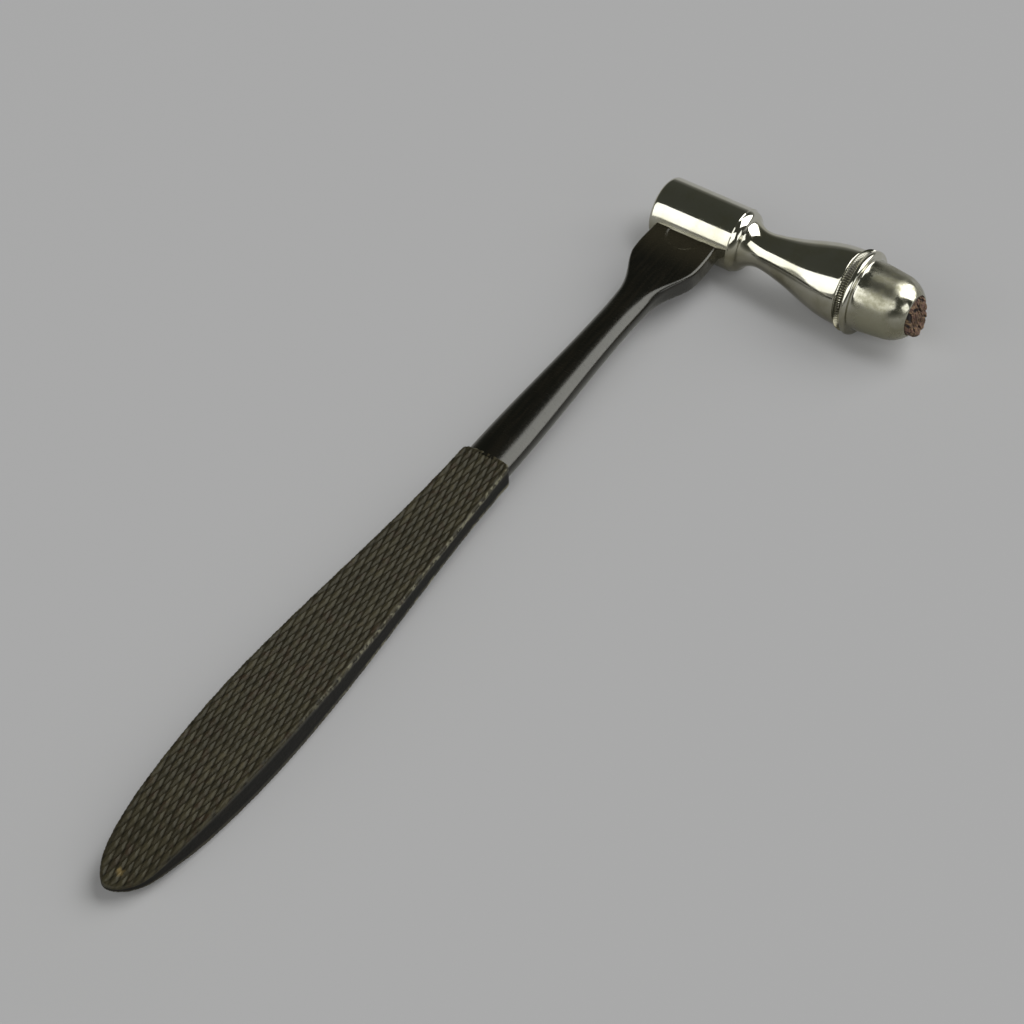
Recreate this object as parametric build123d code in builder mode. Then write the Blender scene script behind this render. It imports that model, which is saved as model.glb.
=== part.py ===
from build123d import *
import os
from math import cos, pi, sin

os.makedirs("parts", exist_ok=True)

# Reflex hammer, in millimetres. The origin is where the handle's middle line meets
# the turning axis of the head. X runs along the head towards the striking tip, the
# handle runs along -Y, and the chequered faces of the grip look up and down (Z).

# Head: places along X, and radii about X
barrel_radius = 6.25
barrel_back = 8.5          # from the handle's middle line to the rounded end
barrel_front = 8.75        # from the handle's middle line to the shoulder
barrel_end_round = 1.0
shoulder_round = 1.9
shoulder_foot_x = 10.3     # where the rounded shoulder turns into the waist
shoulder_foot_radius = 4.9
waist_x = 13.0
waist_radius = 3.6
throat_x = 15.5            # where the waist starts to open into the bell
throat_radius = 3.82
bell_swell_x = 20.0        # steepest part of the bell
bell_swell_radius = 4.85
bell_body_x = 25.5
bell_body_radius = 6.5
bell_end_x = 32.35
bell_end_radius = 7.45
bell_rim_round = 0.3

# Screw joint between the bell and its cap
thread_radius = 5.6
thread_length = 4.2
thread_clearance = 0.05    # on the radius
spigot_chamfer = 0.3

# Cap
knurl_width = 1.6
knurl_radius = 8.05
knurl_edge_radius = 7.6    # the toothed band is crowned, and lower at its edges
knurl_depth = 0.26
knurl_teeth = 100
bead_width = 1.3
bead_radius = 8.25
bead_seat_radius = 7.75
bead_face = 0.35           # height of the flat face behind the bead
cove_width = 0.35
dome_base_radius = 6.9
dome_shoulder_x = 41.4     # where the slim taper of the dome starts to round over
dome_shoulder_radius = 6.32
mouth_x = 45.5
mouth_radius = 3.85
mouth_lip = 0.3            # width of the flat ring round the mouth
tip_clearance = 0.07       # on the radius

# Striking tip: a plug with a flange behind the cap's inner step
tip_flange_clearance = 0.1
tip_flange_thickness = 1.6
tip_stand_out = 0.85       # beyond the mouth of the cap
tip_edge_round = 0.6

# Stud that joins the head to the handle
stud_radius = 1.3
stud_into_head = 1.5       # beyond the head's axis
stud_into_handle = 24.0    # from the head's axis
stud_end_chamfer = 0.3
stud_hole_spare = 0.5      # left empty below the stud's end

# Handle: places are distances from the head's axis, towards the butt, unless said
butt = 181.0
grip_end = 71.6            # corners of the step between the grip and the neck
grip_end_bow = 0.6
grip_corner_round = 1.0
grip_end_width = 9.8

# Width of the grip, at distances from the butt
taper_back = 63.0
taper_width = 14.6
widest_back = 41.0
grip_width = 15.9
nose_start_back = 17.0
nose_start_width = 13.5
nose_end_back = 8.0
nose_end_width = 11.0
nose_tip_back = 1.7
nose_tip_width = 5.9
nose_lean = 1.0            # the very end lies off the middle line

# Half thickness of the grip, at distances from the butt
butt_half = 0.6
nose_end_half = 1.65
nose_start_half = 2.7
swell_back = 24.0
swell_half = 2.98
thickest_back = 33.0
thickest_half = 3.15
palm_back = 59.0
palm_half = 2.8
grip_end_half = 2.6

# Chequering: two sets of V grooves that cross at a slim angle
diamond_width = 1.355
diamond_length = 5.18
groove_depth = 0.26
groove_width = 0.62        # measured across the handle

# Neck and tail: the slim bar between the grip and the head, by its sections
neck_crown = 0.35          # how far the top and bottom stand out in their middle
neck_corner = 1.9
neck_root_inset = 2.0      # how far the neck reaches into the grip
neck_root_width = 9.3
neck_root_thickness = 4.7
neck_middle = 50.0
neck_middle_width = 8.1
neck_middle_thickness = 4.7
neck_slim = 30.0
neck_slim_width = 6.9
neck_slim_thickness = 4.4
flare_start = 24.5
flare_start_width = 7.0
flare_low = 20.5
flare_low_width = 8.2
flare_high = 17.4
flare_high_width = 10.8
flare_thickness = 4.2
flare_crown = 0.2
flare_corner = 1.6
tail_corner = 14.3         # where the flare ends in a soft corner
tail_corner_width = 13.2
tail_widest = 11.0
tail_width = 13.7
tail_end_width = 13.4
tail_thickness = 4.0
tail_crown = 0.06
tail_edge_round = 1.15
saddle_reach = 3.0         # how far the tail passes the barrel's side before it is hollowed

# Shallow round recess on the tail's top face, centred on the barrel's side
recess_radius = 3.8
recess_depth = 0.22

# Worked out from the sizes above
spigot_end_x = bell_end_x + thread_length
cap_step_x = spigot_end_x + tip_flange_thickness
cap_bore_radius = thread_radius + thread_clearance
knurl_band_radius = knurl_edge_radius - knurl_depth
bead_x = bell_end_x + knurl_width
bead_end_x = bead_x + bead_width
cove_end_x = bead_end_x + cove_width
tip_radius = mouth_radius - tip_clearance
tip_end_x = mouth_x + tip_stand_out
tip_flange_radius = cap_bore_radius - tip_flange_clearance


# Head: barrel, shoulder, waist, bell and spigot, turned in one piece about X
with BuildPart() as head_body:
    with BuildSketch(Plane.XY):
        with BuildLine():
            end_face = (-barrel_back, barrel_radius - barrel_end_round)
            end_top = (-barrel_back + barrel_end_round, barrel_radius)
            shoulder = (barrel_front, barrel_radius)
            shoulder_foot = (shoulder_foot_x, shoulder_foot_radius)
            rim_top = (bell_end_x - bell_rim_round, bell_end_radius)
            rim_face = (bell_end_x, bell_end_radius - bell_rim_round)
            spigot_tip = (spigot_end_x, thread_radius - spigot_chamfer)
            spigot_top = (spigot_end_x - spigot_chamfer, thread_radius)
            Polyline(spigot_tip, (spigot_end_x, 0), (-barrel_back, 0), end_face)
            CenterArc((end_top[0], end_face[1]), barrel_end_round, 90, 90)
            Line(end_top, shoulder)
            RadiusArc(shoulder, shoulder_foot, shoulder_round)
            Spline(shoulder_foot, (waist_x, waist_radius), (throat_x, throat_radius),
                   (bell_swell_x, bell_swell_radius), (bell_body_x, bell_body_radius), rim_top)
            CenterArc((rim_top[0], rim_face[1]), bell_rim_round, 0, 90)
            Polyline(rim_face, (bell_end_x, thread_radius), spigot_top, spigot_tip)
        make_face()
    revolve(axis=Axis.X)
    with Locations(Plane(origin=(0, -barrel_radius, 0), z_dir=(0, -1, 0))):
        Hole(stud_radius, depth=barrel_radius + stud_into_head)
head_body.part.label = "head_body"
export_step(head_body.part, "parts/head_body.step")


# Toothed band of the cap: a star-shaped ring with a crowned outside
def knurl_point(corner):
    # Corners of the toothed ring alternate between the crests and the roots.
    radius = knurl_radius - (corner % 2) * knurl_depth
    angle = pi * corner / knurl_teeth
    return (radius * cos(angle), radius * sin(angle))


with BuildPart() as knurl:
    with BuildSketch(Plane.YZ.offset(bell_end_x)):
        Polygon(*[knurl_point(corner) for corner in range(2 * knurl_teeth)], align=None)
        Circle(cap_bore_radius, mode=Mode.SUBTRACT)
    extrude(amount=knurl_width)
    with BuildSketch(Plane.XY):
        with BuildLine():
            knurl_start = (bell_end_x, knurl_edge_radius)
            knurl_crest = (bell_end_x + knurl_width / 2, knurl_radius)
            knurl_end = (bead_x, knurl_edge_radius)
            ThreePointArc(knurl_start, knurl_crest, knurl_end)
            Polyline(knurl_end, (bead_x, 0), (bell_end_x, 0), knurl_start)
        make_face()
    revolve(axis=Axis.X, mode=Mode.INTERSECT)


# Cap: toothed band, bead, cove and dome, bored for the spigot and the tip
with BuildPart() as cap:
    with BuildSketch(Plane.XY):
        with BuildLine():
            dome_shoulder = (dome_shoulder_x, dome_shoulder_radius)
            dome_base = (cove_end_x, dome_base_radius)
            lip_edge = (mouth_x, mouth_radius + mouth_lip)
            bead_seat = (bead_x, bead_seat_radius)
            bead_top = (bead_x + bead_width / 2, bead_radius)
            bead_back = (bead_end_x, bead_seat_radius)
            bead_foot = (bead_end_x, bead_seat_radius - bead_face)
            Polyline((bell_end_x, cap_bore_radius), (bell_end_x, knurl_band_radius),
                     (bead_x, knurl_band_radius), bead_seat)
            ThreePointArc(bead_seat, bead_top, bead_back)
            Line(bead_back, bead_foot)
            TangentArc(bead_foot, dome_base, tangent=(0, -1))
            taper = Line(dome_base, dome_shoulder)
            TangentArc(dome_shoulder, lip_edge, tangent=taper % 1)
            Polyline(lip_edge, (mouth_x, mouth_radius), (cap_step_x, mouth_radius),
                     (cap_step_x, cap_bore_radius), (bell_end_x, cap_bore_radius))
        make_face()
    revolve(axis=Axis.X)
    add(knurl.part)
cap.part.label = "cap"
export_step(cap.part, "parts/cap.step")


# Striking tip: plug and flange
with BuildPart() as tip:
    with BuildSketch(Plane.XY):
        with BuildLine():
            edge_start = (tip_end_x - tip_edge_round, tip_radius)
            edge_end = (tip_end_x, tip_radius - tip_edge_round)
            Polyline(edge_end, (tip_end_x, 0), (spigot_end_x, 0),
                     (spigot_end_x, tip_flange_radius), (cap_step_x, tip_flange_radius),
                     (cap_step_x, tip_radius), edge_start)
            CenterArc((edge_start[0], edge_end[1]), tip_edge_round, 0, 90)
        make_face()
    revolve(axis=Axis.X)
tip.part.label = "tip"
export_step(tip.part, "parts/tip.step")


# Stud through the joint of head and handle
with BuildPart() as stud:
    with BuildSketch(Plane.XZ.offset(-stud_into_head)):
        Circle(stud_radius)
    extrude(amount=stud_into_head + stud_into_handle)
    chamfer(stud.edges().filter_by(GeomType.CIRCLE), stud_end_chamfer)
stud.part.label = "stud"
export_step(stud.part, "parts/stud.step")


# Chequering of the grip. A block of straight ridges follows the grip's thickness from
# end to end, leaning to one side. Where two blocks that lean opposite ways overlap,
# their ridges leave the raised diamonds.
half_thickness_at = [
    (butt + diamond_length / 2, butt_half),
    (butt - nose_end_back, nose_end_half),
    (butt - nose_start_back, nose_start_half),
    (butt - swell_back, swell_half),
    (butt - thickest_back, thickest_half),
    (butt - palm_back, palm_half),
    (grip_end - grip_end_bow - diamond_length / 2, grip_end_half),
]
slant = diamond_width / diamond_length     # sideways run of a groove for each mm along
grip_middle_line = (butt + grip_end) / 2
ridge_count = int((grip_width + slant * (butt - grip_end)) / diamond_width / 2) + 3


def ridge_profile(half, shift):
    # Outline of one end of a block: flat bottom, and a row of V grooves along the top.
    points = [(shift - ridge_count * diamond_width, -thickest_half)]
    for ridge in range(-ridge_count, ridge_count):
        groove = shift + ridge * diamond_width
        points.append((groove, half - groove_depth))
        points.append((groove + groove_width / 2, half))
        points.append((groove + diamond_width - groove_width / 2, half))
    points.append((shift + ridge_count * diamond_width, half - groove_depth))
    points.append((shift + ridge_count * diamond_width, -thickest_half))
    return points


def ridged_block(lean):
    with BuildPart() as block:
        for (far, far_half), (near, near_half) in zip(half_thickness_at, half_thickness_at[1:]):
            shift = lean * slant * (grip_middle_line - far)
            run = far - near
            way = Vector(lean * slant * run, run, near_half - far_half)
            with BuildSketch(Plane(origin=(0, -far, 0), x_dir=(1, 0, 0), z_dir=(0, -1, 0))):
                Polygon(*ridge_profile(far_half, shift), align=None)
            extrude(amount=way.length, dir=way)
    return block.part


with BuildPart() as grip_upper_half:
    with BuildSketch(Plane.XY):
        with BuildLine():
            right_side = [
                (grip_end_width / 2, -grip_end),
                (taper_width / 2, taper_back - butt),
                (grip_width / 2, widest_back - butt),
                (nose_start_width / 2, nose_start_back - butt),
                (nose_end_width / 2, nose_end_back - butt),
                (nose_tip_width / 2, nose_tip_back - butt),
            ]
            left_side = [(-x, y) for x, y in reversed(right_side)]
            Spline(*right_side, (-nose_lean, -butt), *left_side)
            ThreePointArc(right_side[0], (0, -grip_end + grip_end_bow), left_side[-1])
        make_face()
    extrude(amount=thickest_half + groove_depth)
    fillet(grip_upper_half.edges().filter_by(Axis.Z).group_by(Axis.Y)[-1], grip_corner_round)
    add(ridged_block(1), mode=Mode.INTERSECT)
    add(ridged_block(-1), mode=Mode.INTERSECT)


# Handle: grip, neck and flared tail, cut from one piece of wood
def bar_section(distance, width, thickness, corner, crown):
    # Section across the handle: crowned top and bottom, straight sides, round corners.
    with BuildSketch(Plane(origin=(0, -distance, 0), x_dir=(1, 0, 0), z_dir=(0, -1, 0))) as section:
        with BuildLine():
            side_x = width / 2
            top = thickness / 2
            edge = top - crown
            ThreePointArc((-side_x, edge), (0, top), (side_x, edge))
            Line((side_x, edge), (side_x, -edge))
            ThreePointArc((side_x, -edge), (0, -top), (-side_x, -edge))
            Line((-side_x, -edge), (-side_x, edge))
        make_face()
        fillet(section.vertices(), corner)
    return section.sketch


with BuildPart() as handle:
    neck_root = grip_end + neck_root_inset
    loft([
        bar_section(neck_root, neck_root_width, neck_root_thickness, neck_corner, neck_crown),
        bar_section(neck_middle, neck_middle_width, neck_middle_thickness, neck_corner, neck_crown),
        bar_section(neck_slim, neck_slim_width, neck_slim_thickness, flare_corner, neck_crown),
        bar_section(flare_start, flare_start_width, flare_thickness, flare_corner, flare_crown),
    ])
    loft([
        bar_section(flare_start, flare_start_width, flare_thickness, flare_corner, flare_crown),
        bar_section(flare_low, flare_low_width, flare_thickness, flare_corner, flare_crown),
        bar_section(flare_high, flare_high_width, tail_thickness, tail_edge_round, tail_crown),
        bar_section(tail_corner, tail_corner_width, tail_thickness, tail_edge_round, tail_crown),
    ])
    tail_end = barrel_radius - saddle_reach
    loft([
        bar_section(tail_corner, tail_corner_width, tail_thickness, tail_edge_round, tail_crown),
        bar_section(tail_widest, tail_width, tail_thickness, tail_edge_round, tail_crown),
        bar_section(tail_end, tail_end_width, tail_thickness, tail_edge_round, tail_crown),
    ])
    with BuildSketch(Plane.YZ.offset(-barrel_back)):
        Circle(barrel_radius)
    extrude(amount=barrel_back + barrel_front, mode=Mode.SUBTRACT)
    with Locations(Plane(origin=(0, -tail_end, 0), z_dir=(0, 1, 0))):
        Hole(stud_radius, depth=stud_into_handle + stud_hole_spare - tail_end)
    with BuildSketch(Plane.XY.offset(tail_thickness / 2 - recess_depth)):
        with Locations((0, -barrel_radius)):
            Circle(recess_radius)
    extrude(amount=2 * recess_depth, mode=Mode.SUBTRACT)
    add(grip_upper_half.part)
    add(mirror(grip_upper_half.part, about=Plane.XY, mode=Mode.PRIVATE))
handle.part.label = "handle"
export_step(handle.part, "parts/handle.step")
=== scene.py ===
from math import cos, pi, radians, sin

import bpy
import numpy as np
from mathutils import Matrix, Vector


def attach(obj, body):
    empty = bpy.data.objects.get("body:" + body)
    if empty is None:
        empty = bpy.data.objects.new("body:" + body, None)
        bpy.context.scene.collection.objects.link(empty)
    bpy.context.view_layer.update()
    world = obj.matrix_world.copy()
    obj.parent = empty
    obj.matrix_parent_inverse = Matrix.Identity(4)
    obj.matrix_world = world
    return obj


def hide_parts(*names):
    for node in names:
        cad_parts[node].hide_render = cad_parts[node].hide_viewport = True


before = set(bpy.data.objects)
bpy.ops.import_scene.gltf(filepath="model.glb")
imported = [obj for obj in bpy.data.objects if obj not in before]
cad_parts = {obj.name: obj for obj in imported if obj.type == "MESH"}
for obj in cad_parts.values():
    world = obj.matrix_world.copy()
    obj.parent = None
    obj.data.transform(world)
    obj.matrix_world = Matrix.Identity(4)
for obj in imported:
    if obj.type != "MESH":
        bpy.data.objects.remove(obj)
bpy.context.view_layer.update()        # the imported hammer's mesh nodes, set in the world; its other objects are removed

mm = 0.001


# Small tools for surfaces. Every length in them is in millimetres.

def curveThrough(points, count):
    # A smooth curve through the points: a cubic on each span, with the slope and the bend
    # carried on from span to span, and the end slopes of the cubic through four points.
    points = np.asarray(points, float)
    reach = np.concatenate(([0], np.cumsum(np.linalg.norm(np.diff(points, axis=0), axis=1))))
    span = np.diff(reach)
    rise = np.diff(points, axis=0) / span[:, None]
    endSlope = [np.polyfit(reach[cut] - reach[cut][0], points[cut], 3)[2]
                for cut in (slice(0, 4), slice(-1, -5, -1))]
    last = len(points) - 1
    system = np.eye(last + 1)
    inner = np.arange(1, last)
    system[inner, inner - 1] = span[1:]
    system[inner, inner] = 2 * (span[:-1] + span[1:])
    system[inner, inner + 1] = span[:-1]
    known = 3 * (span[1:, None] * rise[:-1] + span[:-1, None] * rise[1:])
    slope = np.linalg.solve(system, np.vstack((endSlope[0], known, endSlope[1])))
    place = np.linspace(0, reach[-1], count)
    k = np.clip(np.searchsorted(reach, place, side="right") - 1, 0, last - 1)
    u = ((place - reach[k]) / span[k])[:, None]
    h = span[k][:, None]
    return ((1 + 2 * u) * (1 - u) ** 2 * points[k] + u * (1 - u) ** 2 * h * slope[k]
            + u * u * (3 - 2 * u) * points[k + 1] + u * u * (u - 1) * h * slope[k + 1])


def arcFrom(start, direction, end, count):
    # The circular arc that leaves start along direction and reaches end: its centre lies
    # square to the direction, as far from start as from end.
    start, direction, end = (np.asarray(p, float) for p in (start, direction, end))
    square = np.array((-direction[1], direction[0])) / np.linalg.norm(direction)
    chord = end - start
    radius = chord @ chord / (2 * chord @ square)
    centre = start + square * radius
    first = np.arctan2(*(start - centre)[::-1])
    turn = 2 * np.arctan2(chord @ square, chord @ direction / np.linalg.norm(direction))
    angle = first + np.linspace(0, turn, count)
    return centre + abs(radius) * np.stack((np.cos(angle), np.sin(angle)), -1)


def lumps(place, size, seed):
    # Soft random lumps from 0 to 1: random numbers on a lattice of the given size, blended
    # smoothly between the eight corners round each point.
    lattice = np.random.default_rng(seed).random((32, 32, 32))
    scaled = np.asarray(place) / size + 1000
    cell = np.floor(scaled).astype(int)
    u = scaled - cell
    u = u * u * (3 - 2 * u)
    total = 0
    for corner in np.ndindex(2, 2, 2):
        weight = np.prod(np.where(corner, u, 1 - u), axis=-1)
        total = total + weight * lattice[tuple(np.moveaxis((cell + corner) % 32, -1, 0))]
    return total


def smoothStep(value, low, high):
    u = np.clip((value - low) / (high - low), 0, 1)
    return u * u * (3 - 2 * u)


def gridQuads(rows, columns, closed=False):
    # Corner numbers of the quads of a grid; a closed grid joins its last column to its first.
    row, column = np.meshgrid(np.arange(rows - 1), np.arange(columns - (not closed)), indexing="ij")
    here = row * columns + column
    beside = row * columns + (column + 1) % columns
    return np.stack((here, beside, beside + columns, here + columns), -1).reshape(-1, 4)


def closedShell(points, quads, marks):
    # Points that fall together become one, quads become triangles, those without area and
    # those back to back on the same corners go, and the shell is turned outwards, which a
    # positive volume shows. Each of the marks has a value for every point.
    points = np.asarray(points, float).reshape(-1, 3)
    _, first, number = np.unique(np.round(points, 4), axis=0, return_index=True, return_inverse=True)
    triangles = number.reshape(-1)[np.vstack((quads[:, [0, 1, 2]], quads[:, [0, 2, 3]]))]
    a, b, c = triangles.T
    triangles = triangles[(a != b) & (b != c) & (c != a)]
    _, same, times = np.unique(np.sort(triangles, axis=1), axis=0, return_inverse=True, return_counts=True)
    triangles = triangles[times[same.reshape(-1)] == 1]
    used, corners = np.unique(triangles, return_inverse=True)
    triangles = corners.reshape(-1, 3)
    kept = first[used]
    points = points[kept]
    a, b, c = points[triangles].transpose(1, 0, 2)
    if np.einsum("ij,ij->", a, np.cross(b, c)) < 0:
        triangles = triangles[:, ::-1]
    return points, triangles, {key: value.reshape(-1)[kept] for key, value in marks.items()}


def makePiece(name, shells, sharpAngle):
    # One object from closed shells, smooth but for the edges sharper than the angle.
    starts = np.cumsum([0] + [len(points) for points, _, _ in shells])
    points = np.vstack([points for points, _, _ in shells]) * mm
    triangles = np.vstack([tris + start for (_, tris, _), start in zip(shells, starts)])
    mesh = bpy.data.meshes.new(name)
    mesh.from_pydata(points.tolist(), [], triangles.tolist())
    mesh.shade_smooth()
    mesh.set_sharp_from_angle(angle=radians(sharpAngle))
    for key in shells[0][2]:
        values = np.concatenate([marks[key] for _, _, marks in shells]).astype(np.float32)
        mesh.attributes.new(key, "FLOAT", "POINT").data.foreach_set("value", values)
    piece = bpy.data.objects.new(name, mesh)
    bpy.context.scene.collection.objects.link(piece)
    print("  ", name, len(points), "points", len(triangles), "triangles")
    return piece


def turned(profile, columns, relief):
    # A lathe shape: the profile's points (x, radius) go round the X axis, where angle a
    # puts them at y = radius * cos(a) and z = radius * sin(a). relief(x, radius, a) is
    # added to the radius for teeth and threads, and the mark sunk keeps how deep it goes.
    profile = np.asarray(profile, float)
    angle = np.linspace(0, 2 * pi, columns, endpoint=False)[None, :]
    x = np.repeat(profile[:, :1], columns, axis=1)
    radius = np.repeat(profile[:, 1:], columns, axis=1)
    raised = relief(x, radius, angle)
    radius = radius + raised
    points = np.stack((x, radius * np.cos(angle), radius * np.sin(angle)), -1)
    return closedShell(points, gridQuads(len(profile), columns, closed=True), {"sunk": -raised})


# Materials are written as sums on sockets. A Field wraps one socket of a node tree, and
# arithmetic on it adds the Math nodes, so 1 - mask or mask * 0.5 reads as it is meant.
class Field:
    def __init__(self, tree, socket):
        self.tree = tree
        self.socket = socket

    def make(self, kind, settings=None, sockets=None, output=0):
        # Adds one node: its settings come first, then values or links on its sockets.
        node = self.tree.nodes.new(kind)
        for name, value in (settings or {}).items():
            if name == "stops":
                ramp = node.color_ramp
                while len(ramp.elements) < len(value):
                    ramp.elements.new(0.5)
                for element, (place, shade) in zip(ramp.elements, value):
                    element.position = place
                    element.color = (*shade, 1)
            else:
                setattr(node, name, value)
        for key, value in (sockets or {}).items():
            if isinstance(value, Field):
                self.tree.links.new(value.socket, node.inputs[key])
            elif isinstance(value, tuple) and node.inputs[key].type == "RGBA":
                node.inputs[key].default_value = (*value, 1)
            else:
                node.inputs[key].default_value = value
        return Field(self.tree, node.outputs[output])

    def sum(self, operation, *values):
        return self.make("ShaderNodeMath", {"operation": operation}, dict(enumerate(values)))

    def __add__(self, other): return self.sum("ADD", self, other)
    def __radd__(self, other): return self.sum("ADD", other, self)
    def __sub__(self, other): return self.sum("SUBTRACT", self, other)
    def __rsub__(self, other): return self.sum("SUBTRACT", other, self)
    def __mul__(self, other): return self.sum("MULTIPLY", self, other)
    def __rmul__(self, other): return self.sum("MULTIPLY", other, self)
    def __truediv__(self, other): return self.sum("DIVIDE", self, other)
    def __rtruediv__(self, other): return self.sum("DIVIDE", other, self)
    def __pow__(self, other): return self.sum("POWER", self, other)
    def __abs__(self): return self.sum("ABSOLUTE", self)

    def larger(self, other): return self.sum("MAXIMUM", self, other)
    def smaller(self, other): return self.sum("MINIMUM", self, other)

    def rise(self, low, high):
        # 0 below low and 1 above high, with a smooth rise between them.
        return self.make("ShaderNodeMapRange", {"interpolation_type": "SMOOTHSTEP"},
                         {"Value": self, "From Min": low, "From Max": high})

    def tint(self, low, high):
        # The colour low where this is 0, high where it is 1.
        return self.make("ShaderNodeMix", {"data_type": "RGBA"}, {0: self, 6: low, 7: high}, 2)

    def stretch(self, x, y, z):
        return self.make("ShaderNodeVectorMath", {"operation": "MULTIPLY"}, {0: self, 1: (x, y, z)})

    def noise(self, scale, detail=2.0, roughness=0.5):
        return self.make("ShaderNodeTexNoise", None,
                         {"Vector": self, "Scale": scale, "Detail": detail, "Roughness": roughness})

    def pattern(self, scale, detail, roughness, low, high):
        # A mask from noise: 0 where it is below low, 1 where it is above high.
        return self.noise(scale, detail, roughness).rise(low, high)

    def cells(self, scale):
        return self.make("ShaderNodeTexVoronoi", None, {"Vector": self, "Scale": scale})

    def axis(self, index):
        return self.make("ShaderNodeSeparateXYZ", None, {0: self}, index)

    def bump(self, strength, distance):
        return self.make("ShaderNodeBump", None,
                         {"Strength": strength, "Distance": distance * mm, "Height": self})

    def attribute(self, name):
        return self.make("ShaderNodeAttribute", {"attribute_name": name}, None, 2)


def newMaterial(name):
    # A material with a Principled shader, and its place in millimetres as a Field.
    material = bpy.data.materials.new(name)
    material.use_nodes = True
    tree = material.node_tree
    shader = tree.nodes["Principled BSDF"]
    here = Field(tree, tree.nodes.new("ShaderNodeTexCoord").outputs["Object"])
    here = here.make("ShaderNodeVectorMath", {"operation": "SCALE"}, {0: here, "Scale": 1 / mm})
    return material, shader, here


def feed(shader, **sockets):
    # Links Fields to the shader's sockets, and sets plain values on them.
    tree = shader.id_data
    for name, value in sockets.items():
        socket = shader.inputs[name.replace("_", " ")]
        if isinstance(value, Field):
            tree.links.new(value.socket, socket)
        elif isinstance(value, tuple):
            socket.default_value = (*value, 1)
        else:
            socket.default_value = value


print("camera")
# Where the photograph was taken from, in the hammer's own frame
cameraSet = {
    "azimuth": 36.369,
    "elevation": 48.448,
    "roll": -3.2,
    "distance": 0.7143,             # metres from the hammer's origin
    "pixelsPerMetre": 5346.7,       # at that distance
    "originPixel": (703.0, 223.4),
    "imageSize": 1024,
    "sensor": 36.0,
}


def makeCamera(c):
    # The camera looks along -back, rolled about it, and is shifted sideways in its own
    # plane until the hammer's origin lands on its pixel.
    azimuth, elevation, roll = (radians(c[k]) for k in ("azimuth", "elevation", "roll"))
    back = Vector((sin(azimuth) * cos(elevation), -cos(azimuth) * cos(elevation), sin(elevation)))
    level = Vector((cos(azimuth), sin(azimuth), 0))
    upright = back.cross(level)
    right = level * cos(roll) + upright * sin(roll)
    up = upright * cos(roll) - level * sin(roll)
    middle = c["imageSize"] / 2
    aside = (c["originPixel"][0] - middle) / c["pixelsPerMetre"]
    below = (middle - c["originPixel"][1]) / c["pixelsPerMetre"]
    data = bpy.data.cameras.new("camera")
    data.sensor_width = c["sensor"]
    data.lens = c["sensor"] * c["pixelsPerMetre"] * c["distance"] / c["imageSize"]
    data.clip_start, data.clip_end = 0.01, 20
    camera = bpy.data.objects.new("camera", data)
    turn = Matrix((right, up, back)).transposed()
    place = back * c["distance"] - right * aside - up * below
    camera.matrix_world = Matrix.Translation(place) @ turn.to_4x4()
    bpy.context.scene.collection.objects.link(camera)
    bpy.context.scene.camera = camera


makeCamera(cameraSet)


print("head")
# Lengths along X and radii of the turned head, as in the solid
head = {
    "barrelRadius": 6.25, "barrelBack": 8.5, "barrelFront": 8.75, "barrelEndRound": 1.0,
    "barrelEdge": (0.16, 0.17),     # length and height of the fine step before the shoulder
    "shoulderFoot": (10.3, 4.9), "shoulderRound": 1.9,
    "waist": (13.0, 3.6), "throat": (15.5, 3.82), "bellSwell": (20.0, 4.85), "bellBody": (25.5, 6.5),
    "bellEnd": 32.35, "bellEndRadius": 7.45, "bellRimRound": 0.3,
    "bellFaceRadius": 6.6, "threadRadius": 5.6, "threadLength": 4.2, "spigotChamfer": 0.3,
    "columns": 176,
}

# The screw joint: one turn of the cap moves it by the pitch. The bore's thread lies the
# clearance outside the spigot's, so the two mesh at every turn.
screw = {"pitch": 0.7, "height": 0.34, "clearance": 0.07, "fade": 0.35, "boreFade": 0.2}


def threadRelief(seat, start, end, fadeOut, outwards):
    # A right-hand thread on the surface with the radius seat: it falls and rises once for
    # each pitch along X, and the pattern moves along X by one pitch in each turn about it.
    # It fades in after start and out before end.
    def relief(x, radius, angle):
        phase = 2 * pi * x / screw["pitch"] - angle
        ends = smoothStep(x, start, start + screw["fade"]) * (1 - smoothStep(x, end - fadeOut, end))
        depth = screw["height"] * (0.5 - 0.5 * np.cos(phase))
        return np.where(abs(radius - seat) < 0.01, (outwards - depth) * ends, 0)
    return relief


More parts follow.
